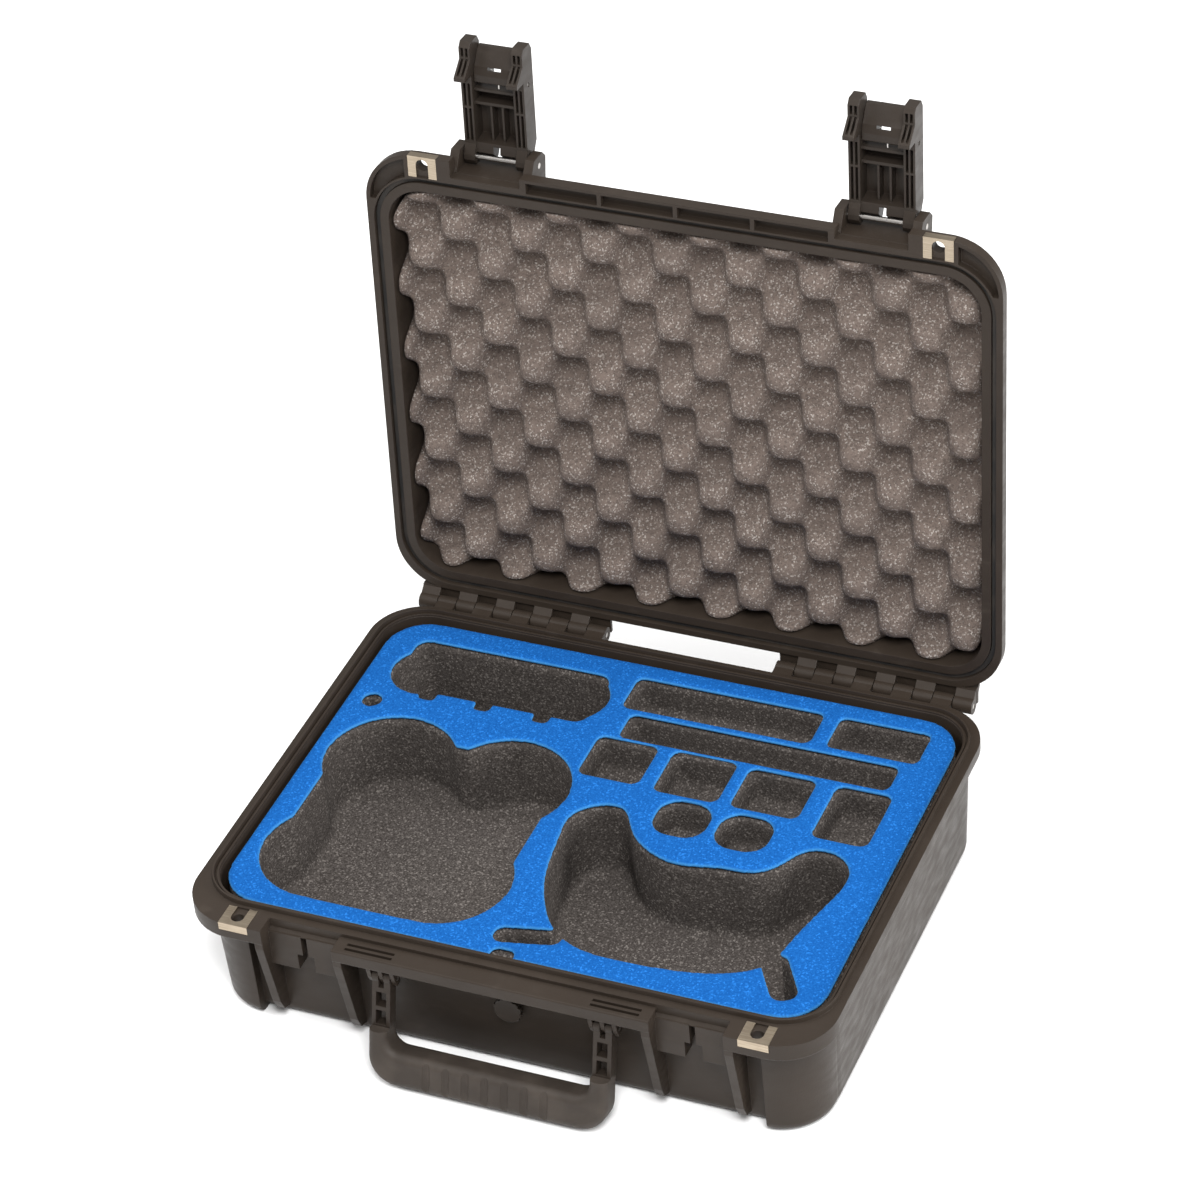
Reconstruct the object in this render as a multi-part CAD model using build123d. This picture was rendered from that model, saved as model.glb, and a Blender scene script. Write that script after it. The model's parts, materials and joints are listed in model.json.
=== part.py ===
"""Hard protective carrying case for a small drone, its goggles, controller and batteries.

Millimetres.  +X is to the right, +Y towards the hinges, +Z up.  The origin is the centre of the
base's underside.  Everything on the lid is modelled on the closed case and then swung open, so the
fits between lid, latches and base come from one set of values.
"""
from build123d import *
from math import cos, sin, tan, radians
import os

os.makedirs("parts", exist_ok=True)

# ---- driving dimensions: shells --------------------------------------------------------------
rim_width = 455.0          # left to right over the flange
rim_depth = 339.0          # front to back over the flange, without the front apron
corner_radius = 42.0       # flange corners at the back, and the body's corners before insets
base_height = 95.0         # underside to parting plane
lid_height = 39.6          # lid's rim plane to its top
parting_gap = 0.4          # between base and lid flanges when closed
flange_height = 9.0
body_inset = 6.5           # flange edge to the base's outer wall
wall = 4.5
floor_thickness = 4.0
base_draft = 2.0           # degrees, walls narrow towards the floor
base_edge_radius = 9.0     # outside bottom edge
cavity_edge_radius = 5.0
lid_body_inset = 10.5      # flange edge to the lid's outer wall
lid_wall = 4.5
lid_top_thickness = 4.0
lid_draft = 3.0
lid_edge_radius = 11.0
rib_height = 2.6           # stacking ribs on the lid
rib_width = 9.0
rib_x = 65.0
rib_y = 70.0
rib_inset = 12.1           # rib ends from the rim's edge
edge_break = 1.2           # small rounding on flanges and blocks
overlap = 1.0              # how far a moulded feature reaches into the wall that carries it

# ---- seal ------------------------------------------------------------------------------------
tongue_inset = 5.2         # flange edge to the tongue's outer face
tongue_width = 2.8
tongue_taper = 0.6         # each side, root to top
tongue_height = 3.6
inner_lip_height = 1.4
inner_lip_width = 1.6
inner_lip_step = 0.6       # lip back from the cavity's edge
inner_lip_clearance = 0.4  # round and above the lip when closed
groove_clearance = 0.5     # tongue to groove, each side
gasket_height = 2.0
gasket_clearance = 0.3     # tongue top to gasket when closed

# ---- front apron, bays and fins --------------------------------------------------------------
apron_depth = 14.5         # how far the base's front apron stands out past the rim
apron_height = 13.0
apron_radius = 38.0
apron_skin = 3.0
lid_apron_depth = 12.5     # the lid's front corners past the rim
lid_rail_depth = 7.0       # the lid's front rail between the latches past the rim
rail_pocket_reach = 3.2    # how far the rail's pockets run back past the rim
rail_rib = 3.0
shelf_drop = 3.0           # shelf top below the parting plane
shelf_roof = 4.0
shelf_hollows = ((20.0, 52.5), (91.0, 105.5))      # from the middle
shelf_slots = (70.0, 104.0)
shelf_slot_width = 2.2
shelf_slot_pitch = 4.5
latch_offset = 137.5       # latch centre from the middle
bay_width = 51.0           # clear width between the two fins beside a latch
fin_thickness = 6.0
fin_foot = 12.0            # fin's lower end above the underside
fin_foot_depth = 8.0       # how far the fin still stands out there
fin_front_step = 0.4       # fin behind the apron's front face
corner_pad_start = 182.0   # where the full corner begins, from the middle
corner_pad_depth = 8.0
corner_pad_step = 0.4      # column inside the body's side face

# ---- hinges ----------------------------------------------------------------------------------
hinge_behind = 10.0        # hinge axis behind the flange's back edge
hinge_below = 4.0          # hinge axis below the parting plane
knuckle_radius = 5.8
knuckle_count = 10         # in each of the two groups
hinge_start = 64.0         # nearest knuckle from the middle
hinge_length = 145.0
knuckle_gap = 0.6
hinge_pin_radius = 2.0
hood_clearance = 0.8       # lid's web over the base's knuckles
hood_thickness = 2.8
hood_reach = 2.0           # behind the hinge axis
lid_open_angle = 94.0

# ---- latches ---------------------------------------------------------------------------------
latch_width = 46.0
latch_rail = 8.0
latch_depth = 16.0
latch_length = 85.0        # pivot to tip
latch_pivot_out = 6.5      # pivot in front of the rim's front edge
latch_pivot_up = 23.5      # pivot above the parting plane
latch_face_out = 5.5       # latch's inner face in front of the rim's front edge
latch_skin = 2.6
latch_open_angle = 90.0
ear_thickness = 6.5
ear_clearance = 1.0
ear_nose_out = 14.0        # front of the ears in front of the rim
ear_back_out = 0.3         # front of the low wall between two ears
ear_back_height = 34.0     # its top above the lid's rim plane
keeper_out = 4.0           # keeper face in front of the rim's front edge
keeper_bottom = 37.0       # below the parting plane
keeper_top = 8.0
keeper_gap = 4.0
keeper_step = 13.0         # height of the narrower lower blocks
tooth_reach = 10.7         # hook tooth past the latch's inner face
tooth_clearance = 0.5
tooth_height = 12.0
latch_pin_radius = 2.0
trigger_drop = 56.5        # trigger axis below the latch pivot
trigger_axis_in = 8.0      # trigger axis behind the latch's outer face
trigger_hub_radius = 3.4
trigger_thickness = 3.0
trigger_pin_radius = 1.5
trigger_side_gap = 0.4
trigger_tip_up = 7.0       # trigger's tip above the latch's tip
trigger_cover = 4.7        # inner face of its spring cover from its axis
spring_width = 9.0
spring_wire = 0.8

# ---- handle ----------------------------------------------------------------------------------
handle_side_room = 21.0    # each side, to the fins beside the latches
handle_arm = 13.0
handle_thickness = 9.0
handle_pivot_out = 7.5     # in front of the rim's front edge
handle_pivot_down = 21.0   # below the parting plane
handle_eye_radius = 5.6
handle_rest_angle = 15.0   # from hanging straight down, grip resting on the ground
handle_floor_gap = 0.2
handle_pin_radius = 2.0
grip_height = 25.0         # height of the grip's lower bar
grip_arm = 14.0            # how far the soft grip runs up each arm above that
grip_in = 9.0              # grip behind the handle's middle plane
grip_out = 13.0            # grip in front of it
grip_radius = 6.0
grip_corner = 20.0         # outer corner in front view
grip_core_inset = 3.0      # hard core below the grip's surface
flute_count = 7
flute_pitch = 14.0
flute_radius = 3.6
flute_depth = 1.6
lug_thickness = 3.0
lug_gap = 0.4

# ---- padlock plates --------------------------------------------------------------------------
plate_offset = 183.5       # centre from the middle
plate_width = 21.0
plate_thickness = 1.4
plate_drop = 6.0
plate_seat = 0.15
plate_back = 3.3           # rear edge behind the rim's front edge
plate_proud = 0.05         # face above the flange
shackle_hole = 9.0
shackle_out = 6.0          # hole's centre in front of the rim

# ---- pressure valve --------------------------------------------------------------------------
valve_x = 4.0
valve_down = 38.0          # below the parting plane
valve_radius = 10.0
valve_stem_radius = 5.0

# ---- foam ------------------------------------------------------------------------------------
foam_inset = 14.8          # flange edge to the foam block
foam_corner_radius = corner_radius - body_inset - wall
floor_pad_inset = 20.0
floor_pad_height = 8.0
face_height = 4.0          # blue face layer
face_drop = 2.0            # its top below the parting plane
foam_gap = 0.3
lid_foam_drop = 1.8        # foam peaks behind the lid's rim plane
small_pocket_depth = 30.0
deep_pocket_depth = 62.0
split_left = -28.5         # the left blocks end here, behind split_step
split_drone = -21.5        # and the drone's block ends here in front of it
split_step = 30.0
split_controller = 72.0    # front of the controller's block
split_batteries = 81.5     # between the left two and the right two batteries
split_bar = 75.0           # front of the long bar's block
split_rear = 104.5         # front of the two rear wells' blocks
split_wells_rear = 120.0   # between those two
split_goggles = 12.0       # back of the goggles' block
split_wells = -14.0        # and between the two round wells
split_wells_low = 38.0
split_wells_high = 127.0

# ---- worked-out places -----------------------------------------------------------------------
front = -rim_depth / 2
back = rim_depth / 2
apron_front = front - apron_depth
lid_front = front - lid_apron_depth
bay_inner = latch_offset - bay_width / 2
bay_outer = latch_offset + bay_width / 2
lid_rim = base_height + parting_gap
lid_top = lid_rim + lid_height
hinge_y = back + hinge_behind
hinge_z = base_height - hinge_below
latch_y = front - latch_pivot_out
latch_z = base_height + latch_pivot_up
latch_inner = front - latch_face_out
latch_outer = latch_inner - latch_depth
latch_tip = latch_z - latch_length
keeper_face = front - keeper_out
keeper_low = base_height - keeper_bottom
tooth_top = keeper_low - tooth_clearance
trigger_y = latch_outer + trigger_axis_in
trigger_z = latch_z - trigger_drop
handle_y = front - handle_pivot_out
handle_z = base_height - handle_pivot_down
handle_width = 2 * (bay_inner - fin_thickness - handle_side_room)
lug_outer = handle_width / 2 + lug_gap + lug_thickness
lug_inner = handle_width / 2 - handle_arm - lug_gap - lug_thickness
shackle_y = front - shackle_out
bore_clearance = 0.05      # running fit of a moulded eye on its steel pin, on the radius
press_clearance = 0.02     # pin in the eye that holds it, on the radius


# ---- helpers ---------------------------------------------------------------------------------
def slab(width, depth, radius, z_low, z_high, y_mid=0.0):
    """Upright prism with rounded corners."""
    outline = Pos(0, y_mid, z_low) * RectangleRounded(width, depth, radius)
    return extrude(outline, z_high - z_low)


def drafted(inset_top, inset_low, z_low, z_high, radius):
    """Tapering block whose outline is the rim pulled in by an inset at its top and at its bottom."""
    outlines = []
    for inset, z in ((inset_low, z_low), (inset_top, z_high)):
        size = RectangleRounded(rim_width - 2 * inset, rim_depth - 2 * inset, radius)
        outlines.append(Pos(0, 0, z) * size)
    return loft(outlines, ruled=True)


def ring(inset, width, z_low, z_high, taper=0.0):
    """Closed rib that follows the rim, narrower by the taper at its top."""
    outer = drafted(inset + taper, inset, z_low, z_high, corner_radius - inset)
    inner = drafted(inset + width - taper, inset + width, z_low, z_high, corner_radius - inset - width)
    return outer - inner


def bar(x_low, x_high, *points, rounding=0.0):
    """Prism along X with the given outline in Y and Z."""
    face = make_face(Polyline(*points, close=True))
    if rounding:
        face = fillet(face.vertices(), rounding)
    return Pos(x_low, 0, 0) * extrude(Plane.YZ * face, x_high - x_low)


def block(x_low, x_high, y_low, y_high, z_low, z_high):
    """Plain box between two corners."""
    middle = Pos((x_low + x_high) / 2, (y_low + y_high) / 2, (z_low + z_high) / 2)
    return middle * Box(x_high - x_low, y_high - y_low, z_high - z_low)


def rod(x_low, x_high, y, z, radius):
    """Round bar along X."""
    return Pos((x_low + x_high) / 2, y, z) * Rot(0, 90, 0) * Cylinder(radius, x_high - x_low)


def mirrored(part):
    """The part and its mirror image across the middle of the case."""
    return part + mirror(part, about=Plane.YZ)


def joined(parts):
    """All parts fused into one."""
    whole = parts[0]
    for part in parts[1:]:
        whole += part
    return whole


def swing(part, angle, y, z):
    """Turn a part about an axis along X, the front going up for a positive angle."""
    return Pos(0, y, z) * Rot(-angle, 0, 0) * Pos(0, -y, -z) * part


def opened(part):
    """From the closed case to the open one."""
    return swing(part, lid_open_angle, hinge_y, hinge_z)


def unlatched(part):
    """From latched to swung out, still on the closed lid."""
    return swing(part, latch_open_angle, latch_y, latch_z)


def lowered(part):
    """From the handle hanging straight down to resting on the ground."""
    return swing(part, handle_rest_angle, handle_y, handle_z)


def inset_at(inset, draft, depth):
    """Inset of a drafted wall some depth away from the rim."""
    return inset + depth * tan(radians(draft))


# ---- base ------------------------------------------------------------------------------------
def apron(depth, z_low, z_high, skin=0.0):
    """Flange outline with a front apron of some depth, pulled in by a skin."""
    y_front = front - depth + skin
    y_back = back - skin
    return slab(rim_width - 2 * skin, y_back - y_front, apron_radius - skin, z_low, z_high,
                (y_front + y_back) / 2)


def base_body():
    """Outer wall, corner columns and flange, without the shelf between the latches."""
    low_inset = inset_at(body_inset, base_draft, base_height)
    radius = corner_radius - body_inset
    body = drafted(body_inset, low_inset, 0, base_height, radius)
    body = fillet(body.faces().sort_by(Axis.Z)[0].edges(), base_edge_radius)
    column = drafted(body_inset + corner_pad_step, low_inset + corner_pad_step, 0, base_height - 1,
                     radius)
    column = fillet(column.faces().sort_by(Axis.Z)[0].edges(), base_edge_radius)
    corners = mirrored(block(corner_pad_start, rim_width / 2, apron_front, front + 2 * corner_radius,
                             0, base_height))
    body += (Pos(0, -corner_pad_depth, 0) * column) & corners
    flange = apron(apron_depth, base_height - flange_height, base_height)
    flange = fillet(flange.faces().sort_by(Axis.Z)[0].edges(), edge_break)
    skirt = apron(apron_depth, base_height - apron_height, base_height)
    skirt = fillet(skirt.faces().sort_by(Axis.Z)[0].edges(), edge_break)
    low = base_height - apron_height - 1
    zone = mirrored(block(bay_outer, rim_width, apron_front - 1, apron_front + apron_radius,
                          low, base_height + 1))
    middle = block(-bay_outer, bay_outer, apron_front - 1, front, low, base_height + 1)
    return body + (flange - zone - middle) + (skirt & zone)


def base_cavity():
    """Room for the foam, open at the top."""
    inset = body_inset + wall
    above = 10.0
    room = drafted(inset_at(inset, base_draft, -above),
                   inset_at(inset, base_draft, base_height - floor_thickness),
                   floor_thickness, base_height + above, corner_radius - inset)
    return fillet(room.faces().sort_by(Axis.Z)[0].edges(), cavity_edge_radius)


def fin(x_low):
    """Protective rib beside a latch, deep under the shelf and shallow at its foot."""
    wall_y = front + body_inset + overlap
    top_z = base_height - shelf_drop - 2
    nose = apron_front + fin_front_step
    foot_y = front + body_inset - fin_foot_depth
    return bar(x_low, x_low + fin_thickness,
               (wall_y, top_z), (nose, top_z), (nose, top_z - 12), (foot_y - 1, fin_foot + 9),
               (foot_y + 3, fin_foot), (wall_y + 2.5, fin_foot - 3))


def shelf():
    """Deep ledge over the handle, hollow from below, with two slots near each end."""
    top = base_height - shelf_drop
    low = base_height - apron_height
    body = block(-bay_inner, bay_inner, apron_front, front + overlap, low, top)
    body = fillet(body.edges().filter_by(Axis.X).group_by(Axis.Y)[0], edge_break)
    for near, far in shelf_hollows:
        body -= mirrored(block(near, far, apron_front + apron_skin, front - 1, low - 1,
                               top - shelf_roof))
    for i in range(2):
        y_low = apron_front + apron_skin + 0.5 + i * shelf_slot_pitch
        body -= mirrored(block(*shelf_slots, y_low, y_low + shelf_slot_width, top - 2.5, top + 1))
    return body


def handle_lugs():
    """Three lugs for each handle arm, hanging from the shelf."""
    top = base_height - apron_height + overlap
    low = handle_z - handle_eye_radius
    middle = handle_width / 2 - handle_arm / 2 - lug_thickness / 2
    lugs = []
    for x in (lug_outer - lug_thickness, lug_inner, middle):
        lugs.append(bar(x, x + lug_thickness, (apron_front + 1, top), (apron_front + 2.5, handle_z),
                        (handle_y - 2, low), (handle_y + 2.5, low), (front - 1, top)))
    return mirrored(joined(lugs))


def keepers(x_mid):
    """Two stepped blocks that the latch's teeth hook under, and a sloping brow above them."""
    half = bay_width / 2 + 0.5
    wall_y = front + body_inset + overlap
    top = base_height - keeper_top
    step = keeper_low + keeper_step
    parts = []
    for side in (-1, 1):
        for nearest, z_low, z_high in ((keeper_gap / 2, step, top), (keeper_gap / 2 + 4, keeper_low, step)):
            x_low, x_high = sorted((x_mid + side * nearest, x_mid + side * half))
            parts.append(block(x_low, x_high, keeper_face, wall_y, z_low, z_high))
    brow = bar(x_mid - half, x_mid + half, (wall_y, top - 0.5), (keeper_face, top - 0.5), (wall_y, top + 4))
    return joined(parts + [brow])


def knuckle_spans(first):
    """Spans along X of every second knuckle in the right-hand group."""
    pitch = hinge_length / knuckle_count
    for i in range(first, knuckle_count, 2):
        low = hinge_start + i * pitch
        yield low + knuckle_gap / 2, low + pitch - knuckle_gap / 2


def hinge_knuckles(first, *root):
    """Knuckles with webs running to the given root points on a flange."""
    parts = []
    for x_low, x_high in knuckle_spans(first):
        web = bar(x_low, x_high, *root)
        parts.append(web + rod(x_low, x_high, hinge_y, hinge_z, knuckle_radius))
    return mirrored(joined(parts))


def plate_seats(z_face, direction, y_front):
    """Seats for the padlock plates' leaves and lips, cut into a flange face."""
    half = plate_width / 2 + plate_seat
    y_back = front + plate_back + plate_seat
    cuts = []
    for y_high, depth in ((y_back, plate_thickness), (y_front + plate_thickness + plate_seat, plate_drop)):
        z_low, z_high = sorted((z_face - direction, z_face + direction * (depth + plate_seat)))
        cuts.append(block(plate_offset - half, plate_offset + half, y_front - 1, y_high, z_low, z_high))
    return mirrored(joined(cuts))


def shackle_bore(z_low, z_high):
    """Hole for a padlock's shackle through the flange."""
    hole = Pos(plate_offset, shackle_y, (z_low + z_high) / 2) * Cylinder(shackle_hole / 2 + plate_seat,
                                                                        z_high - z_low)
    return mirrored(hole)


def pin_bore(x_low, x_high, y, z, radius):
    """Hole along X on the right and its mirror image on the left."""
    return mirrored(rod(x_low - 1, x_high + 1, y, z, radius))


def make_base_shell():
    """The base moulding."""
    shell = base_body() + shelf()
    for x in (bay_outer, bay_inner - fin_thickness):
        shell += mirrored(fin(x))
    shell += keepers(latch_offset) + keepers(-latch_offset) + handle_lugs()
    shell -= base_cavity()
    shell += ring(tongue_inset, tongue_width, base_height - overlap, base_height + tongue_height,
                  tongue_taper)
    lip_inset = body_inset + wall - inner_lip_width - inner_lip_step
    shell += ring(lip_inset, inner_lip_width, base_height - overlap, base_height + inner_lip_height)
    shell += hinge_knuckles(0, (back - overlap, base_height - flange_height),
                            (back - overlap, base_height - 0.3), (back, base_height - 0.3),
                            (hinge_y - 3, hinge_z + knuckle_radius - 1.2), (hinge_y, hinge_z),
                            (hinge_y - 1, hinge_z - knuckle_radius + 0.5))
    shell -= pin_bore(hinge_start, hinge_start + hinge_length, hinge_y, hinge_z,
                      hinge_pin_radius + press_clearance)
    shell -= pin_bore(lug_inner, lug_outer, handle_y, handle_z, handle_pin_radius + press_clearance)
    shell -= plate_seats(base_height, -1, apron_front)
    shell -= shackle_bore(base_height - apron_height - 1, base_height + 1)
    valve_bore = Rot(90, 0, 0) * Cylinder(valve_stem_radius + 0.1, 40)
    shell -= Pos(valve_x, front + body_inset, base_height - valve_down) * valve_bore
    return shell


# ---- lid (all in the closed position) --------------------------------------------------------
def lid_body():
    """Outer wall, top and flange with its front rail and corners."""
    radius = corner_radius - lid_body_inset
    high_inset = inset_at(lid_body_inset, lid_draft, lid_height)
    outer = drafted(high_inset, lid_body_inset, lid_rim, lid_top, radius)
    outer = fillet(outer.faces().sort_by(Axis.Z)[-1].edges(), lid_edge_radius)
    flange = apron(lid_apron_depth, lid_rim, lid_rim + flange_height)
    flange = fillet(flange.faces().sort_by(Axis.Z)[-1].edges(), edge_break)
    low, high = lid_rim - 1, lid_rim + flange_height + 1
    flange -= block(-bay_outer, bay_outer, lid_front - 1, front - lid_rail_depth, low, high)
    flange -= mirrored(block(bay_inner, bay_outer, lid_front - 1, front, low, high))
    return outer + flange


def lid_room():
    """Inside of the lid."""
    inset = lid_body_inset + lid_wall
    high = lid_top - lid_top_thickness
    room = drafted(inset_at(inset, lid_draft, high - lid_rim), inset_at(inset, lid_draft, -1),
                   lid_rim - 1, high, corner_radius - inset)
    return fillet(room.faces().sort_by(Axis.Z)[-1].edges(), cavity_edge_radius)


def rail_pockets():
    """Pockets in the front rail and in the corner bumpers, open towards the base."""
    low, high = lid_rim - 1, lid_rim + flange_height - apron_skin
    y_low, y_high = front - lid_rail_depth + apron_skin - 0.8, front + rail_pocket_reach
    pitch = (bay_inner - apron_skin) / 2
    pockets = [block(i * pitch + rail_rib / 2, (i + 1) * pitch - rail_rib / 2, y_low, y_high, low, high)
               for i in range(2)]
    ends = apron(lid_apron_depth, low, high, apron_skin) & mirrored(
        block(plate_offset + plate_width / 2 + apron_skin, rim_width / 2, lid_front, front + 25, low, high))
    inside = drafted(rail_pocket_reach, rail_pocket_reach, low - 1, high + 1,
                     corner_radius - rail_pocket_reach)
    return mirrored(joined(pockets)) + (ends - inside)


def lid_ears():
    """Pairs of lugs that carry the latch pins, with a low wall behind each pair."""
    wall_y = front + lid_body_inset + overlap
    nose = front - ear_nose_out
    low = lid_rim + flange_height - 1.5
    near = latch_width / 2 + ear_clearance
    parts = []
    for a in (near, -near - ear_thickness):
        x = latch_offset + a
        parts.append(bar(x, x + ear_thickness, (wall_y, low), (front - 1, low), (nose, latch_z - 8),
                         (nose, latch_z + 6), (nose + 5, latch_z + 11), (wall_y + 2, lid_top - 8)))
    reach = near + overlap
    face, high = front - ear_back_out, lid_rim + ear_back_height
    parts.append(bar(latch_offset - reach, latch_offset + reach, (wall_y, low), (face, low),
                     (face, high), (wall_y, high)))
    return mirrored(joined(parts))


def rib_outline(half):
    """Side view of a stacking rib that runs right over the lid, with bevelled ends."""
    z_low, z_high, bevel = lid_top - 12.0, lid_top + rib_height, 9.0
    return [(-half, z_low), (-half, z_high - bevel), (-half + bevel, z_high), (half - bevel, z_high),
            (half, z_high - bevel), (half, z_low)]


def lid_ribs():
    """Raised stacking ribs on the lid's top, two each way."""
    half_x, half_y = rim_width / 2 - rib_inset, rim_depth / 2 - rib_inset
    across = bar(-rib_width / 2, rib_width / 2, *rib_outline(half_x))
    along = bar(-rib_width / 2, rib_width / 2, *rib_outline(half_y))
    parts = []
    for side in (-1, 1):
        parts.append(Pos(0, side * rib_y, 0) * Rot(0, 0, 90) * across)
        parts.append(Pos(side * rib_x, 0, 0) * along)
    return joined(parts)


def hinge_hood():
    """Web at each hinge that bridges over the base's knuckles."""
    low = hinge_z + knuckle_radius + hood_clearance
    return mirrored(block(hinge_start, hinge_start + hinge_length, back - overlap, hinge_y + hood_reach,
                          low, low + hood_thickness))


def groove():
    """Room for the tongue with the gasket above it, and a shallow step for the inner lip."""
    depth = tongue_height - parting_gap + gasket_clearance + gasket_height
    deep = ring(tongue_inset - groove_clearance, tongue_width + 2 * groove_clearance, lid_rim - 1,
                lid_rim + depth)
    lip_inset = body_inset + wall - inner_lip_width - inner_lip_step - inner_lip_clearance
    step = drafted(lip_inset, lip_inset, lid_rim - 1,
                   lid_rim + inner_lip_height - parting_gap + inner_lip_clearance,
                   corner_radius - lip_inset)
    return deep + step


def make_lid_shell():
    """The lid moulding."""
    shell = lid_body() + lid_ears() + lid_ribs() + hinge_hood()
    shell -= rail_pockets()
    shell -= lid_room()
    shell -= groove()
    high = lid_rim + flange_height
    shell += hinge_knuckles(1, (back - overlap, high), (back - overlap, lid_rim), (back, lid_rim),
                            (hinge_y - knuckle_radius + 0.5, hinge_z), (hinge_y, hinge_z),
                            (hinge_y + 2, hinge_z + knuckle_radius - 0.5), (back + 1, high))
    shell -= pin_bore(hinge_start, hinge_start + hinge_length, hinge_y, hinge_z,
                      hinge_pin_radius + bore_clearance)
    reach = latch_width / 2 + ear_clearance + ear_thickness
    shell -= pin_bore(latch_offset - reach, latch_offset + reach, latch_y, latch_z,
                      latch_pin_radius + press_clearance)
    shell -= plate_seats(lid_rim, 1, lid_front)
    shell -= shackle_bore(lid_rim - 1, lid_rim + flange_height + 1)
    return shell


def make_gasket():
    """Rubber cord at the bottom of the groove."""
    depth = tongue_height - parting_gap + gasket_clearance
    return ring(tongue_inset - 0.2, tongue_width + 0.4, lid_rim + depth, lid_rim + depth + gasket_height)


def make_plate(z_face, direction, y_front):
    """Padlock plate: a leaf on the flange with an arched notch, and a lip over the flange's edge."""
    half = plate_width / 2
    y_back = front + plate_back
    z_leaf = sorted((z_face, z_face + direction * plate_thickness))
    z_lip = sorted((z_face, z_face + direction * plate_drop))
    plate = block(-half, half, y_front, y_back, *z_leaf)
    plate += block(-half, half, y_front, y_front + plate_thickness, *z_lip)
    plate -= Pos(0, shackle_y, z_face) * Cylinder(shackle_hole / 2, 2 * plate_thickness + 2)
    plate -= block(-shackle_hole / 2, shackle_hole / 2, shackle_y, y_back + 1, z_leaf[0] - 1,
                   z_leaf[1] + 1)
    return plate


# ---- latch -----------------------------------------------------------------------------------
def rail_outline():
    """Side view of a latch rail: eye, kink, straight run, tooth and tip."""
    eye = 5.2
    return [(latch_y + 4.2, latch_z - 2.5), (latch_y + 4.6, latch_z + 1), (latch_y + 2.5, latch_z + 4.6),
            (latch_y - 2.5, latch_z + eye), (latch_y - 7, latch_z + 1), (latch_outer, latch_z - 12),
            (latch_outer, latch_tip + 5), (latch_outer + 3, latch_tip), (latch_inner - 3, latch_tip),
            (latch_inner, latch_tip + 4), (latch_inner, tooth_top - tooth_height),
            (latch_inner + tooth_reach, tooth_top - 2.5), (latch_inner + tooth_reach, tooth_top),
            (latch_inner, tooth_top), (latch_inner, latch_z - 10)]


def make_latch_frame():
    """Latch lever, centred on X = 0."""
    half = latch_width / 2
    inner = half - latch_rail
    rail = bar(inner, half, *rail_outline())
    # ladder coring: two grooves along the rail's inner face, broken by cross ties
    groove_width, tie = 1.8, 1.6
    spans = [(tooth_top + 6, latch_z - 38), (latch_z - 38 + tie, latch_z - 12)]
    spans += [(latch_tip + 4, tooth_top - tooth_height - tie)]
    for z_low, z_high in spans:
        for x in (inner + 1.5, half - 1.5 - groove_width):
            rail -= block(x, x + groove_width, latch_inner - 6, latch_inner + 1, z_low, z_high)
    for x in (inner + 1.5, half - 1.5 - groove_width):
        rail -= block(x, x + groove_width, latch_inner - 1, latch_inner + tooth_reach + 1,
                      tooth_top - tooth_height, tooth_top - 3.6)
    frame = mirrored(rail)
    rib_z = trigger_z + trigger_hub_radius + 2.6
    thin = 2.2
    frame += block(-inner - 0.5, inner + 0.5, latch_outer, latch_outer + latch_skin, rib_z, latch_z - 12)
    frame += block(-inner - 0.5, inner + 0.5, latch_outer, latch_inner - 4, rib_z, rib_z + thin)
    frame += block(-inner - 0.5, inner + 0.5, latch_outer, latch_inner - 4, rib_z + 10,
                   rib_z + 10 + thin)
    for x in (-5.0, 3.4):
        frame += block(x, x + 1.6, latch_outer, latch_inner - 5, rib_z + 10, latch_z - 10)
    web = bar(-inner - 0.5, inner + 0.5, (latch_outer, latch_z - 13), (latch_inner - 1, latch_z - 11),
              (latch_y + 1, latch_z - 4), (latch_y - 4.4, latch_z + 1), (latch_y - 7, latch_z + 1))
    web -= block(-2.5, 2.5, latch_outer - 1, latch_inner + 5, latch_z - 9, latch_z + 6)
    frame += web
    frame -= rod(-half - 1, half + 1, latch_y, latch_z, latch_pin_radius + bore_clearance)
    frame -= rod(-half - 1, half + 1, trigger_y, trigger_z, trigger_pin_radius + press_clearance)
    return frame


def make_trigger():
    """Release trigger between the latch's two prongs, centred on X = 0."""
    half = latch_width / 2 - latch_rail - trigger_side_gap
    tip = latch_tip + trigger_tip_up
    outer = latch_outer + 1.0
    cover = trigger_y + trigger_cover
    body = bar(-half, half, (outer + 1.5, trigger_z - 1), (outer, trigger_z - 3), (outer, tip + 12),
               (outer - 1.5, tip + 4), (outer - 1.2, tip), (outer + 2.2, tip),
               (outer + 5, tip + 4), (cover - 1.6, trigger_z - 10), (cover, trigger_z - 4),
               (cover, trigger_z + 1), (cover - 2, trigger_z + 2.6), (trigger_y - 1, trigger_z + 3))
    body += rod(-half, half, trigger_y, trigger_z, trigger_hub_radius)
    room = spring_width / 2 + 0.4
    body -= block(-room, room, latch_outer, trigger_y + trigger_cover - 1.1, trigger_z - 10,
                  trigger_z + 6)
    body -= rod(-half - 1, half + 1, trigger_y, trigger_z, trigger_pin_radius + bore_clearance)
    return body


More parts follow.
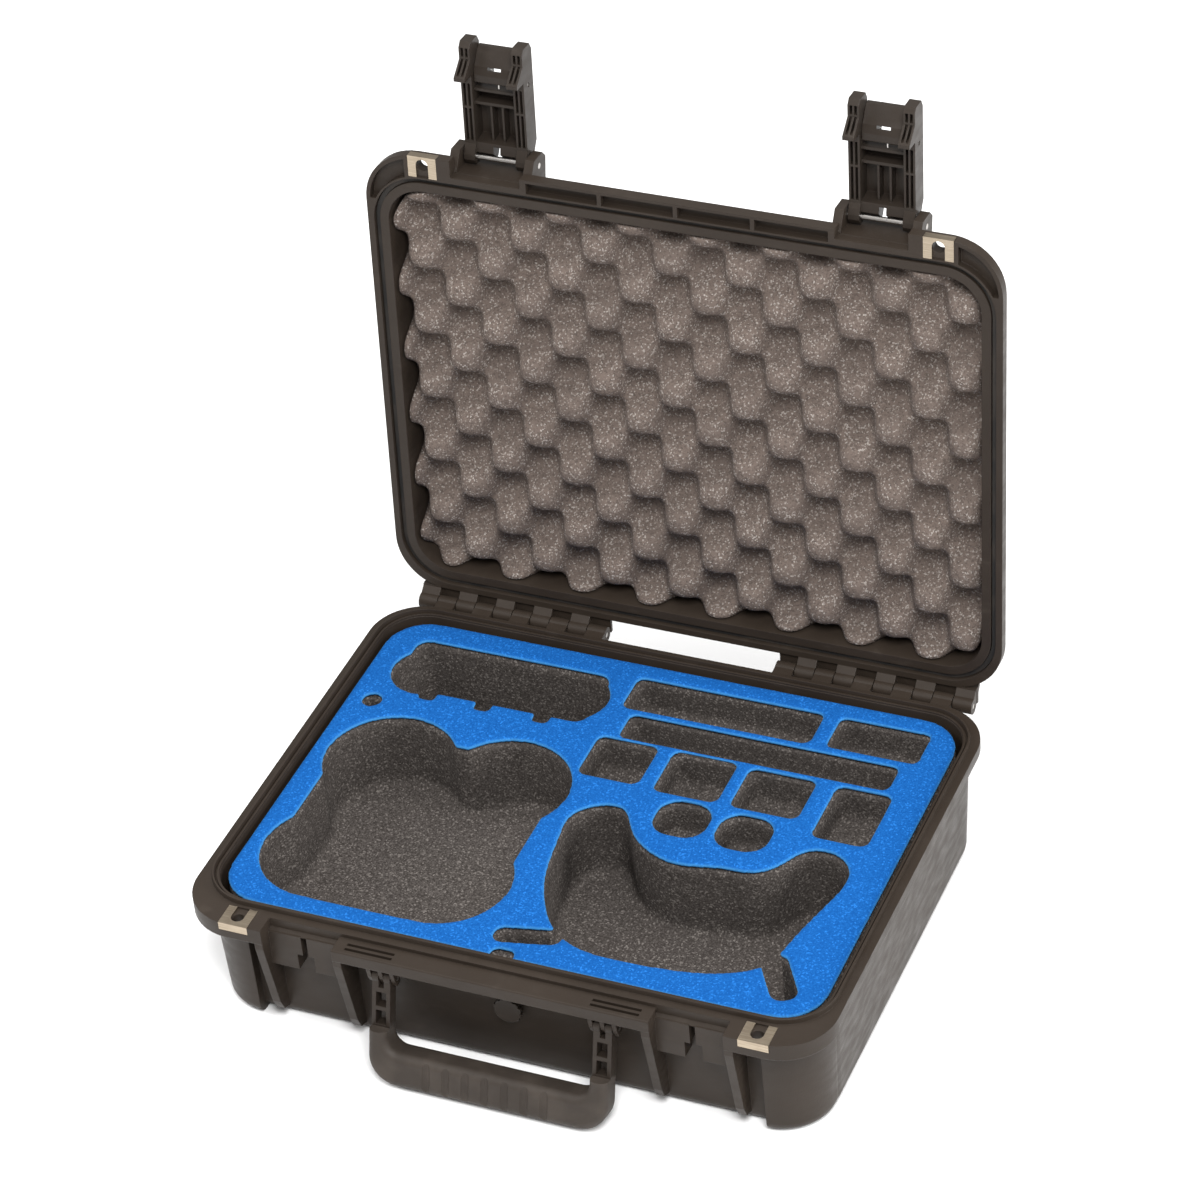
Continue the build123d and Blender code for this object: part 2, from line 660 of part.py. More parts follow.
def make_spring():
    """Closely wound torsion spring on the trigger's pin, with one leg on each part."""
    turns = int(spring_width / (2 * spring_wire)) - 1
    bore = trigger_pin_radius + 0.12
    mean = bore + spring_wire
    length = turns * 2 * spring_wire
    coils = Rot(0, 90, 0) * (Cylinder(mean + 0.25, length) - Cylinder(bore, length + 1))
    for i in range(turns):
        x = (i - (turns - 1) / 2) * 2 * spring_wire
        coils += Pos(x, 0, 0) * Rot(0, 90, 0) * Torus(mean, spring_wire - 0.02)
    coils -= Rot(0, 90, 0) * Cylinder(bore, length + 4)
    coils = Pos(0, trigger_y, trigger_z) * coils
    leg_end = length / 2 - spring_wire
    upper = block(leg_end - spring_wire / 2, leg_end + spring_wire / 2, trigger_y + mean - 0.4,
                  trigger_y + mean + 0.4, trigger_z, trigger_z + 5.2)
    lower = block(-leg_end - spring_wire / 2, -leg_end + spring_wire / 2, trigger_y + mean - 0.4,
                  trigger_y + mean + 0.4, trigger_z - 9, trigger_z)
    return coils + upper + lower


# ---- handle (hanging straight down) ----------------------------------------------------------
def handle_reach():
    """Pivot to the grip's lower face, so that the grip just reaches the ground at rest."""
    angle = radians(handle_rest_angle)
    fall = handle_z - handle_floor_gap - grip_radius - (grip_in - grip_radius) * sin(angle)
    return fall / cos(angle) + grip_radius


def handle_outline(half, low, arm, bar_top, corner):
    """Front view of a U: two arms up to the pivot and a bar across the bottom, corners rounded."""
    inner = half - arm
    outline = [(-half, handle_z), (-half, low), (half, low), (half, handle_z), (inner, handle_z),
               (inner, bar_top), (-inner, bar_top), (-inner, handle_z)]
    face = make_face(Polyline(*outline, close=True))
    face = fillet(face.vertices().filter_by(lambda v: abs(v.Y - low) < 1e-6), corner)
    return fillet(face.vertices().filter_by(lambda v: abs(v.Y - bar_top) < 1e-6), corner / 2)


def handle_slice(face, y_low, y_high):
    """The front view given thickness between two places along Y."""
    return Pos(0, y_high, 0) * extrude(Plane.XZ * face, y_high - y_low)


def make_handle_frame():
    """Hard U-shaped core with windows in its arms and an eye at each end."""
    half = handle_width / 2
    low = handle_z - handle_reach()
    grip_top = low + grip_height + grip_arm
    inset = grip_core_inset
    y_low, y_high = handle_y - handle_thickness / 2, handle_y + handle_thickness / 2
    full = handle_slice(handle_outline(half, low, handle_arm, low + grip_height, grip_corner),
                        y_low, y_high)
    core = handle_slice(handle_outline(half - inset, low + inset, handle_arm - 2 * inset,
                                       low + grip_height - inset, grip_corner - inset), y_low, y_high)
    frame = core + (full & block(-half, half, y_low, y_high, grip_top, handle_z))
    slot = lug_thickness / 2 + lug_gap
    for side in (-1, 1):
        x_low, x_high = sorted((side * (half - handle_arm), side * half))
        middle = (x_low + x_high) / 2
        frame += rod(x_low, x_high, handle_y, handle_z, handle_eye_radius)
        frame -= block(middle - slot, middle + slot, handle_y - 10, handle_y + 10,
                       handle_z - handle_eye_radius - 2, handle_z + handle_eye_radius + 1)
        tie = (grip_top + handle_z) / 2 - 4.8
        for z_low, z_high in ((tie + 1.5, handle_z - 11), (grip_top + 1.5, tie - 1.5)):
            frame -= block(x_low + 2.8, x_high - 2.8, handle_y - 10, handle_y + 10, z_low, z_high)
        frame -= rod(x_low - 1, x_high + 1, handle_y, handle_z, handle_pin_radius + bore_clearance)
    return frame


def make_handle_grip(frame):
    """Soft overmould round the handle's lower bar and corners, with finger flutes in front."""
    low = handle_z - handle_reach()
    half = handle_width / 2
    face = handle_outline(half, low, handle_arm, low + grip_height, grip_corner)
    grip = handle_slice(face, handle_y - grip_out, handle_y + grip_in)
    sides = grip.faces().filter_by(Axis.Y).edges().filter_by(lambda e: e.center().Z < handle_z - 0.1)
    grip = fillet(sides, grip_radius)
    grip &= block(-half - 1, half + 1, handle_y - 30, handle_y + 30, low - 1,
                  low + grip_height + grip_arm)
    for i in range(flute_count):
        x = (i - (flute_count - 1) / 2) * flute_pitch
        y = handle_y - grip_out - flute_radius + flute_depth
        grip -= Pos(x, y, low + grip_height / 2) * Cylinder(flute_radius, 2 * grip_height)
    return grip - frame


# ---- pressure valve --------------------------------------------------------------------------
def valve_pieces():
    """Valve body through the front wall, its seal, knob and inside nut, each along -Y."""
    wall_y = front + inset_at(body_inset, base_draft, valve_down)
    z = base_height - valve_down

    def disc(radius, y_low, y_high):
        return Pos(valve_x, (y_low + y_high) / 2, z) * Rot(90, 0, 0) * Cylinder(radius, y_high - y_low)

    seal = disc(valve_stem_radius + 2.0, wall_y - 1.4, wall_y - 0.35) - disc(
        valve_stem_radius + 0.05, wall_y - 2, wall_y + 1)
    inner_y = wall_y + wall
    body = disc(valve_radius - 1.5, wall_y - 3.4, wall_y - 1.45) + disc(
        valve_stem_radius, wall_y - 3.4, inner_y + 3.0)
    knob = disc(valve_radius, wall_y - 6.6, wall_y - 3.45)
    knob = fillet(knob.edges().group_by(Axis.Y)[0], 1.2)
    for i in range(12):
        notch = Rot(0, 30 * i, 0) * Pos(valve_radius + 0.5, 0, 0) * Rot(90, 0, 0) * Cylinder(1.3, 20)
        knob -= Pos(valve_x, wall_y - 5, z) * notch
    nut = disc(valve_stem_radius + 2.6, inner_y + 0.3, inner_y + 2.9) - disc(
        valve_stem_radius + 0.05, inner_y - 1, inner_y + 4)
    return {"valve_seal": seal, "valve_body": body, "valve_knob": knob, "valve_nut": nut}


# ---- foam ------------------------------------------------------------------------------------
def hull_slot(x_low, x_high, y_low, y_high, radius):
    """Rounded rectangle between two corners, in plan."""
    size = RectangleRounded(x_high - x_low, y_high - y_low, radius)
    return Pos((x_low + x_high) / 2, (y_low + y_high) / 2) * size


def disc_at(x, y, radius):
    """Round outline in plan."""
    return Pos(x, y) * Circle(radius)


def drone_pocket():
    """Four rotor lobes round a body."""
    x, y = -113.0, -43.5
    shape = hull_slot(x - 81, x + 81, y - 40, y + 36, 12) + hull_slot(x - 44, x + 44, y - 97, y + 77, 12)
    for side_x in (-1, 1):
        for side_y in (-1, 1):
            shape += disc_at(x + 43 * side_x, y + 50 * side_y, 46.5)
    return shape


def controller_pocket():
    """Two rounded ends joined by a band, with finger notches in front."""
    shape = hull_slot(-190, -42, 82, 136, 10) + disc_at(-171, 103, 25) + disc_at(-61, 108, 26)
    for x in (-159.0, -117.0, -73.0):
        shape += hull_slot(x - 6, x + 6, 74, 90, 3)
    return shape


def goggles_pocket():
    """Curved visor shape with a cheek at each end and a pocket for each aerial."""
    outline = [(8, -104), (-6, -72), (-13, -30), (-12, -7), (17, 7), (30, -10), (46, -26), (72, -35),
               (104, -30), (124, -28), (138, -17), (152, 3), (168, 6), (184, -6), (183, -40),
               (172, -84), (163, -112), (146, -124), (110, -133), (70, -135), (36, -130)]
    shape = make_face(Spline(*outline, periodic=True))
    left = Pos(6, -131) * Rot(0, 0, 12) * RectangleRounded(46, 15, 7)
    right = Pos(177, -119) * Rot(0, 0, -58) * RectangleRounded(44, 18, 8)
    return shape + left + right


def rows():
    """Small pockets: battery wells, spare well pair, hole for a small tool."""
    wells = []
    for x_low, x_high, y_low, y_high in ((-27, 18, 32, 74), (29, 76, 30, 74), (85, 134, 30, 72),
                                         (148, 188, 17, 72)):
        wells.append(hull_slot(x_low, x_high, y_low, y_high, 6))
    for x, y in ((60.0, 9.0), (105.0, 8.0)):
        wells.append(hull_slot(x - 19, x + 19, y - 19, y + 17, 15))
    return wells


def slots():
    """Long bar slot, cable well and propeller well."""
    return [hull_slot(-14, 182, 76, 102, 5), hull_slot(-24, 114, 107, 141, 5),
            hull_slot(126, 192, 108, 141, 5)]


def pockets():
    """Every pocket as (outline, depth below the face)."""
    deep = [drone_pocket(), goggles_pocket(), controller_pocket()]
    found = [(shape, deep_pocket_depth) for shape in deep]
    found += [(shape, small_pocket_depth) for shape in rows() + slots()]
    found.append((disc_at(-195, 63, 7), small_pocket_depth))
    found.append((Pos(-3, front + foam_inset) * RectangleRounded(16, 14, 4), 9.0))
    return found


def foam_block(inset, radius, z_low, z_high):
    """Foam slab inside the base."""
    return slab(rim_width - 2 * inset, rim_depth - 2 * inset, radius, z_low, z_high)


def foam_plan():
    """Plan outlines that part the foam into blocks, each round a few pockets."""
    side, far = rim_width / 2, rim_depth / 2
    outlines = {
        "drone": [(-side, -far), (split_drone, -far), (split_drone, split_step), (split_left, split_step),
                  (split_left, split_controller), (-side, split_controller)],
        "controller": [(-side, split_controller), (split_left, split_controller), (split_left, far),
                       (-side, far)],
        "goggles": [(split_drone, -far), (side, -far), (side, split_goggles),
                    (split_wells_high, split_goggles), (split_wells_high, split_wells),
                    (split_wells_low, split_wells), (split_wells_low, split_goggles),
                    (split_drone, split_goggles)],
        "batteries_left": [(split_drone, split_goggles), (split_wells_low, split_goggles),
                           (split_wells_low, split_wells), (split_batteries, split_wells),
                           (split_batteries, split_bar), (split_left, split_bar),
                           (split_left, split_step), (split_drone, split_step)],
        "batteries_right": [(split_batteries, split_wells), (split_wells_high, split_wells),
                            (split_wells_high, split_goggles), (side, split_goggles), (side, split_bar),
                            (split_batteries, split_bar)],
        "bar": [(split_left, split_bar), (side, split_bar), (side, split_rear), (split_left, split_rear)],
        "cable": [(split_left, split_rear), (split_wells_rear, split_rear), (split_wells_rear, far),
                  (split_left, far)],
        "propellers": [(split_wells_rear, split_rear), (side, split_rear), (side, far),
                       (split_wells_rear, far)],
    }
    return {name: make_face(Polyline(*points, close=True)) for name, points in outlines.items()}


def parted(layer, name):
    """A foam layer as one piece for each block of the plan."""
    return {name + "_" + block_name: layer & extrude(outline, base_height)
            for block_name, outline in foam_plan().items()}


def make_base_foam():
    """Floor pad, pocketed core and the coloured face on it."""
    face_top = base_height - face_drop
    face_low = face_top - face_height
    pad_low = floor_thickness + foam_gap
    core_low = pad_low + floor_pad_height + foam_gap
    pad = foam_block(floor_pad_inset, foam_corner_radius, pad_low, pad_low + floor_pad_height)
    core = foam_block(foam_inset, foam_corner_radius, core_low, face_low - foam_gap)
    face = foam_block(foam_inset, foam_corner_radius, face_low, face_top)
    for outline, depth in pockets():
        core -= extrude(Pos(0, 0, face_top - depth) * outline, depth + 1)
        face -= extrude(Pos(0, 0, face_low - 1) * outline, face_height + 2)
    wall_y = front + inset_at(body_inset, base_draft, valve_down)
    relief = Pos(valve_x, wall_y + wall + 5, base_height - valve_down) * Rot(90, 0, 0) * Cylinder(
        valve_stem_radius + 4, 12)
    return {"foam_floor_pad": pad, **parted(core - relief, "foam_core"), **parted(face, "foam_face")}


def make_lid_foam():
    """Envelope of the convoluted foam glued in the lid."""
    high = lid_top - lid_top_thickness - foam_gap
    inset = inset_at(lid_body_inset + lid_wall, lid_draft, high - lid_rim) + foam_gap
    z_low = lid_rim + lid_foam_drop
    radius = corner_radius - lid_body_inset - lid_wall
    foam = slab(rim_width - 2 * inset, rim_depth - 2 * inset, radius, z_low, high)
    return chamfer(foam.faces().sort_by(Axis.Z)[-1].edges(), cavity_edge_radius)


# ---- assembly --------------------------------------------------------------------------------
def side_parts(side, name):
    """The pieces that come once on the left and once on the right."""
    x = side * latch_offset
    reach = latch_width / 2 + ear_clearance + ear_thickness

    def on_lid(part):
        return opened(Pos(x, 0, 0) * part)

    ends = sorted((side * hinge_start, side * (hinge_start + hinge_length)))
    pin_ends = sorted((side * lug_inner, side * lug_outer))
    plate_at = Pos(side * plate_offset, 0, 0)
    trigger_reach = latch_width / 2 - 0.5
    return {
        "hinge_pin_" + name: rod(ends[0] + 0.5, ends[1] - 0.5, hinge_y, hinge_z, hinge_pin_radius),
        "handle_pin_" + name: rod(*pin_ends, handle_y, handle_z, handle_pin_radius),
        "base_plate_" + name: plate_at * make_plate(base_height + plate_proud, -1, apron_front),
        "lid_plate_" + name: opened(plate_at * make_plate(lid_rim - plate_proud, 1,
                                                                          lid_front)),
        "latch_pin_" + name: on_lid(rod(-reach, reach, latch_y, latch_z, latch_pin_radius)),
        "latch_frame_" + name: on_lid(unlatched(make_latch_frame())),
        "latch_trigger_" + name: on_lid(unlatched(make_trigger())),
        "trigger_pin_" + name: on_lid(unlatched(
            rod(-trigger_reach, trigger_reach, trigger_y, trigger_z, trigger_pin_radius))),
        "trigger_spring_" + name: on_lid(unlatched(make_spring())),
    }


def assembly():
    """Every piece at rest: lid open, latches out, handle on the ground."""
    frame = make_handle_frame()
    parts = {"base_shell": make_base_shell(), "lid_shell": opened(make_lid_shell()),
             "lid_gasket": opened(make_gasket()), "lid_foam": opened(make_lid_foam()),
             "handle_frame": lowered(frame), "handle_grip": lowered(make_handle_grip(frame))}
    parts.update(make_base_foam())
    parts.update(valve_pieces())
    for side, name in ((-1, "left"), (1, "right")):
        parts.update(side_parts(side, name))
    return parts


for name, part in assembly().items():
    export_step(part, f"parts/{name}.step")
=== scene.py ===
"""Looks for the drone carrying case: moulded shells, steel plates, rubber and cut foam.

Metres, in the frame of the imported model: +X to the right, +Y towards the hinges, +Z up.
"""
import bmesh
import bpy
import json
from math import pi, radians
from mathutils import Matrix, Vector
from mathutils.bvhtree import BVHTree


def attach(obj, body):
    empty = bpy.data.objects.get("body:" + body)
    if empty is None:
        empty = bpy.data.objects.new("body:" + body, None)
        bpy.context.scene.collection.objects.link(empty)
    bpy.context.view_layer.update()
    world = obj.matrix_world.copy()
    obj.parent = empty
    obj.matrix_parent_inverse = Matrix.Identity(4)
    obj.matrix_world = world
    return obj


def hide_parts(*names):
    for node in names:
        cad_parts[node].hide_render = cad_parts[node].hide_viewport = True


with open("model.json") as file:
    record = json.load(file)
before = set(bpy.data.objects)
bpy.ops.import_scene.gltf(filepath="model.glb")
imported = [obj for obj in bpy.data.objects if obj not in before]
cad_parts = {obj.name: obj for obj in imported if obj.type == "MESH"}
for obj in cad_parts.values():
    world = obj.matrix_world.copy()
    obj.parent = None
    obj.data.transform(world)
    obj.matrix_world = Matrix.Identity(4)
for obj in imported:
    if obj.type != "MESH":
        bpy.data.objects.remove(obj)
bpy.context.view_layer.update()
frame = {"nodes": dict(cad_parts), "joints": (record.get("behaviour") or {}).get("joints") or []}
nodes = frame["nodes"]
joints = {joint["name"]: joint for joint in frame["joints"]}

# ---- sizes and places ------------------------------------------------------------------------
FOAM_PITCH = 0.052           # from one foam peak to the next along a row
FOAM_BACK = 0.009            # solid foam behind the valleys
FOAM_CORNER = 0.027          # radius of the sheet's corners
FOAM_STEP = 0.0025           # spacing of the foam sheet's grid
FOAM_PHASE = (0.192, -0.003)  # where the rows of peaks start, along X and Y
FOAM_FIRMNESS = 1.6          # how flat the peaks and valleys are, with steep sides between
FACE_VOXEL = 0.0017          # grain of the cut layers' meshes: blue face, core and floor pad
CORE_VOXEL = 0.0030
PAD_VOXEL = 0.0060
CUT_RIPPLE = 0.018           # length of the faint waves in a cut surface
TOUCH = 0.0001               # how near two foam blocks have to be to count as one
WELD = 0.00002               # how near two corners have to be to become one

CAMERA_AIM = (-0.0220, 0.0846, 0.2027)
CAMERA_DISTANCE = 3.003
CAMERA_AZIMUTH = 25.545
CAMERA_ELEVATION = 37.556
CAMERA_ROLL = -5.383
CAMERA_LENS = 133.48         # millimetres
CAMERA_SENSOR = 36.0         # millimetres
CAMERA_SIGHT = 100.0         # metres

# name, place, the point it faces, width, height, watts
LIGHTS = (("key_light", (0.9, -1.5, 2.6), (0.0, 0.0, 0.15), 1.1, 1.1, 105.0),
          ("side_light", (2.7, 0.2, 1.1), (0.0, 0.0, 0.10), 1.2, 1.2, 66.0),
          ("left_light", (-2.2, -0.6, 2.0), (0.0, 0.0, 0.10), 1.6, 1.6, 45.0),
          ("top_light", (0.1, 0.6, 2.8), (0.0, 0.1, 0.1), 2.2, 1.6, 35.0))
FLOOR_REACH = 30.0
WORLD_STRENGTH = 0.50

# ---- colours ---------------------------------------------------------------------------------
PLASTIC = (0.0190, 0.0138, 0.0102)
PLASTIC_LIGHT = (0.0335, 0.0252, 0.0192)
PLASTIC_WORN = (0.088, 0.071, 0.057)
LATCH = (0.0175, 0.0132, 0.0103)
LATCH_LIGHT = (0.0300, 0.0230, 0.0180)
RUBBER = (0.029, 0.0225, 0.0178)
RUBBER_DUST = (0.070, 0.056, 0.045)
SEAL_RUBBER = (0.018, 0.017, 0.016)
STEEL = (0.43, 0.36, 0.275)
STEEL_DARK = (0.28, 0.23, 0.17)
STEEL_STAIN = (0.20, 0.155, 0.115)
PIN_STEEL = (0.42, 0.39, 0.355)
PIN_RING = (0.45, 0.44, 0.43)
BLUE = (0.0080, 0.094, 0.320)
BLUE_DEEP = (0.0040, 0.063, 0.240)
# painted highlight: the paler blue put on the foam face's cut sides and pocket walls
BLUE_SIDE_HIGHLIGHT = (0.050, 0.235, 0.520)
BLUE_SPECK = (0.020, 0.17, 0.54)
CHARCOAL = (0.085, 0.075, 0.069)
CHARCOAL_DEEP = (0.036, 0.031, 0.028)
CHARCOAL_SPECK = (0.20, 0.18, 0.165)
FOAM_BROWN = (0.125, 0.098, 0.084)
FOAM_PORE = (0.064, 0.051, 0.045)
# painted highlight: colour of the small glints on the foam's cell walls
FOAM_PAINTED_GLINT = (0.33, 0.30, 0.275)
FLOOR_DARK = (0.86, 0.86, 0.86)
FLOOR_PALE = (0.90, 0.90, 0.90)
WORLD_COLOUR = (1.0, 0.99, 0.98, 1.0)

# ---- patterns: repeats to the metre, and depths in metres -------------------------------------
MOULD_EDGE = 0.0007          # radius to which moulded edges are softened
MOULD_MOTTLE = 14.0
MOULD_SCUFFS = 55.0
SCUFF_STRETCH = (1.0, 1.0, 3.0)
MOULD_GRAIN, MOULD_GRAIN_DEPTH = 900.0, 0.00012
MOULD_PITS, MOULD_PIT_DEPTH = 1500.0, 0.00006
RUBBER_SPOTS = 40.0
RUBBER_WEAR = 120.0
RUBBER_GRAIN, RUBBER_GRAIN_DEPTH = 1300.0, 0.00010
BRUSHING, BRUSHING_DEPTH = (60.0, 2600.0, 2600.0), 0.00003
PLATE_STAINS = 90.0
TURNING, TURNING_DEPTH = (3000.0, 120.0, 120.0), 0.00002
CLOSED_CELLS, CLOSED_CELL_DEPTH = 750.0, 0.00030
CLOSED_FLECKS = 900.0
CLOSED_DRIFT = 9.0
SKIVING, SKIVING_DEPTH = 260.0, 0.0005
OPEN_PORES, OPEN_PORE_DEPTH = 1000.0, 0.0005
OPEN_DRIFT = 30.0
OPEN_TUFTS, OPEN_TUFT_DEPTH = 300.0, 0.0006
FLOOR_GRAIN = 3.0


# ---- shader building -------------------------------------------------------------------------
class Wiring:
    """Short calls for building a node tree."""

    def __init__(self, tree):
        self.tree = tree

    def add(self, kind, values=(), **settings):
        """A node with some sockets set or linked, by name or by index."""
        node = self.tree.nodes.new(kind)
        for key, value in settings.items():
            setattr(node, key, value)
        for socket, value in dict(values).items():
            if isinstance(value, bpy.types.NodeSocket):
                self.tree.links.new(value, node.inputs[socket])
            else:
                node.inputs[socket].default_value = value
        return node


class Finish(Wiring):
    """A material with one shader, and the few kinds of pattern that this case needs."""

    def __init__(self, name, roughness, metallic=0.0, specular=0.5):
        self.material = bpy.data.materials.new(name)
        self.material.use_nodes = True
        super().__init__(self.material.node_tree)
        self.shader = self.tree.nodes["Principled BSDF"]
        self.shader.inputs["Roughness"].default_value = roughness
        self.shader.inputs["Metallic"].default_value = metallic
        self.shader.inputs["Specular IOR Level"].default_value = specular
        self.place = self.tree.nodes.new("ShaderNodeTexCoord").outputs["Object"]
        self.normal = None

    def stretched(self, scale):
        """Coordinates scaled unevenly, for streaks."""
        return self.add("ShaderNodeMapping", {"Vector": self.place, "Scale": scale}).outputs["Vector"]

    def noise(self, scale, detail=2.0, place=None):
        """Soft noise from 0 to 1."""
        values = {"Vector": place or self.place, "Scale": scale, "Detail": detail}
        return self.add("ShaderNodeTexNoise", values).outputs["Fac"]

    def cells(self, scale, output="Distance"):
        """Cell pattern, by distance or by a random value for each cell."""
        values = {"Vector": self.place, "Scale": scale}
        return self.add("ShaderNodeTexVoronoi", values).outputs[output]

    def between(self, source, low, high, start=0.0, end=1.0):
        """Maps the source from start..end to low..high."""
        values = {"Value": source, "From Min": start, "From Max": end, "To Min": low, "To Max": high}
        return self.add("ShaderNodeMapRange", values).outputs["Result"]

    def mix(self, factor, first, second):
        """Colour between two colours."""
        ends = [end if isinstance(end, bpy.types.NodeSocket) else (*end, 1.0) for end in (first, second)]
        values = {0: factor, 6: ends[0], 7: ends[1]}
        return self.add("ShaderNodeMix", values, data_type="RGBA").outputs[2]

    def colour(self, source):
        """Sets the base colour."""
        self.tree.links.new(source, self.shader.inputs["Base Color"])

    def gloss(self, source):
        """Sets the roughness from a pattern."""
        self.tree.links.new(source, self.shader.inputs["Roughness"])

    def relief(self, height, depth, strength=1.0):
        """Adds fine relief, depth in metres."""
        values = {"Height": height, "Distance": depth, "Strength": strength}
        if self.normal is not None:
            values["Normal"] = self.normal
        self.normal = self.add("ShaderNodeBump", values).outputs["Normal"]
        self.tree.links.new(self.normal, self.shader.inputs["Normal"])


def moulded_plastic(name, dark, light, roughness):
    """Spark-eroded polypropylene: fine grain, faint flow mottle and handling marks."""
    finish = Finish(name, roughness, specular=0.17)
    softened = finish.add("ShaderNodeBevel", {"Radius": MOULD_EDGE}, samples=4)
    finish.normal = softened.outputs["Normal"]
    mottle = finish.noise(MOULD_MOTTLE, 4.0)
    scuffs = finish.noise(MOULD_SCUFFS, 6.0, finish.stretched(SCUFF_STRETCH))
    tone = finish.mix(finish.between(mottle, 0.25, 0.75, 0.30, 0.75), dark, light)
    worn = finish.mix(finish.between(scuffs, 0.0, 0.13, 0.60, 0.78), tone, PLASTIC_WORN)
    finish.colour(worn)
    finish.gloss(finish.between(scuffs, roughness - 0.07, roughness + 0.12, 0.3, 0.75))
    finish.relief(finish.noise(MOULD_GRAIN, 3.0), MOULD_GRAIN_DEPTH, 0.55)
    finish.relief(finish.cells(MOULD_PITS), MOULD_PIT_DEPTH, 0.45)
    return finish.material


def soft_rubber(name, colour):
    """Overmoulded rubber with a dull, slightly dusty surface."""
    finish = Finish(name, 0.62, specular=0.25)
    dust = finish.between(finish.noise(RUBBER_SPOTS, 5.0), 0.0, 0.5, 0.45, 0.75)
    finish.colour(finish.mix(dust, colour, RUBBER_DUST))
    finish.gloss(finish.between(finish.noise(RUBBER_WEAR, 3.0), 0.50, 0.72))
    finish.relief(finish.noise(RUBBER_GRAIN, 2.0), RUBBER_GRAIN_DEPTH, 0.5)
    return finish.material


def brushed_plate(name):
    """Stainless sheet brushed along its width, with soft stains."""
    finish = Finish(name, 0.34, metallic=1.0)
    streaks = finish.noise(1.0, 3.0, finish.stretched(BRUSHING))
    stain = finish.noise(PLATE_STAINS, 3.0)
    base = finish.mix(finish.between(streaks, 0.0, 1.0, 0.3, 0.7), STEEL_DARK, STEEL)
    finish.colour(finish.mix(finish.between(stain, 0.0, 0.35, 0.55, 0.8), base, STEEL_STAIN))
    finish.gloss(finish.between(streaks, 0.26, 0.44))
    finish.relief(streaks, BRUSHING_DEPTH, 0.5)
    return finish.material


def turned_steel(name):
    """Drawn steel pins and springs, with fine rings along X."""
    finish = Finish(name, 0.30, metallic=1.0)
    rings = finish.noise(1.0, 2.0, finish.stretched(TURNING))
    finish.colour(finish.mix(finish.between(rings, 0.0, 1.0, 0.3, 0.7), PIN_RING, PIN_STEEL))
    finish.gloss(finish.between(rings, 0.22, 0.40))
    finish.relief(rings, TURNING_DEPTH, 0.5)
    return finish.material


def closed_cell_foam(name, deep, bright, speck, side_highlight=None):
    """Skived closed-cell foam: fine cells, dull surface, faint tone changes, and a painted highlight on
    the cut sides when a highlight colour is given.
    """
    finish = Finish(name, 0.90, specular=0.06)
    cell = finish.between(finish.cells(CLOSED_CELLS), 0.0, 1.0, 0.1, 0.75)
    tone = finish.mix(cell, bright, deep)
    drift = finish.between(finish.noise(CLOSED_DRIFT, 3.0), 0.0, 0.35, 0.4, 0.7)
    tone = finish.mix(drift, tone, deep)
    pick = finish.add("ShaderNodeSeparateColor", {"Color": finish.cells(CLOSED_FLECKS, "Color")})
    tone = finish.mix(finish.between(pick.outputs[0], 0.0, 0.60, 0.80, 0.98), tone, speck)
    if side_highlight:
        # painted highlight: the less a face points up, the more it is mixed towards the paler colour,
        # standing in for light on the cut sides
        facing = finish.add("ShaderNodeNewGeometry").outputs["Normal"]
        upward = finish.add("ShaderNodeSeparateXYZ", {"Vector": facing}).outputs["Z"]
        tone = finish.mix(finish.between(upward, 0.75, 0.0, 0.35, 0.93), tone, side_highlight)
    finish.colour(tone)
    finish.relief(finish.cells(CLOSED_CELLS), CLOSED_CELL_DEPTH, 0.55)
    finish.relief(finish.noise(SKIVING, 4.0), SKIVING_DEPTH, 0.35)
    return finish.material


def open_cell_foam(name, dark, base, painted_glint):
    """Charcoal polyurethane foam: open pores, and painted glints of light on small cell walls."""
    finish = Finish(name, 0.92, specular=0.08)
    pick = finish.add("ShaderNodeSeparateColor", {"Color": finish.cells(OPEN_PORES, "Color")})
    pores = finish.between(pick.outputs[0], 0.0, 0.75, 0.55, 0.95)
    tone = finish.mix(pores, base, dark)
    # painted highlights: a few random cells take the glint colour, standing in for light caught by cell
    # walls
    painted_glints = finish.between(pick.outputs[1], 0.0, 0.85, 0.80, 0.99)
    tone = finish.mix(painted_glints, tone, painted_glint)
    drift = finish.between(finish.noise(OPEN_DRIFT, 4.0), 0.0, 0.30, 0.4, 0.7)
    finish.colour(finish.mix(drift, tone, dark))
    finish.relief(finish.cells(OPEN_PORES), OPEN_PORE_DEPTH, 0.7)
    finish.relief(finish.noise(OPEN_TUFTS, 5.0), OPEN_TUFT_DEPTH, 0.5)
    return finish.material


# ---- pieces ----------------------------------------------------------------------------------
def new_piece(name, mesh, material):
    """An object at the origin with its place in its mesh."""
    piece = bpy.data.objects.new(name, mesh)
    bpy.context.scene.collection.objects.link(piece)
    mesh.materials.clear()
    mesh.materials.append(material)
    return piece


def fixed(piece):
    """Applies every modifier, which leaves a plain mesh."""
    graph = bpy.context.evaluated_depsgraph_get()
    mesh = bpy.data.meshes.new_from_object(piece.evaluated_get(graph))
    piece.modifiers.clear()
    piece.data = mesh
    return piece


def lies_in(tree, place):
    """Whether a place is just behind a surface."""
    nearest, normal, _, _ = tree.find_nearest(place, 2 * TOUCH)
    return nearest is not None and (place - nearest).dot(normal) < 0


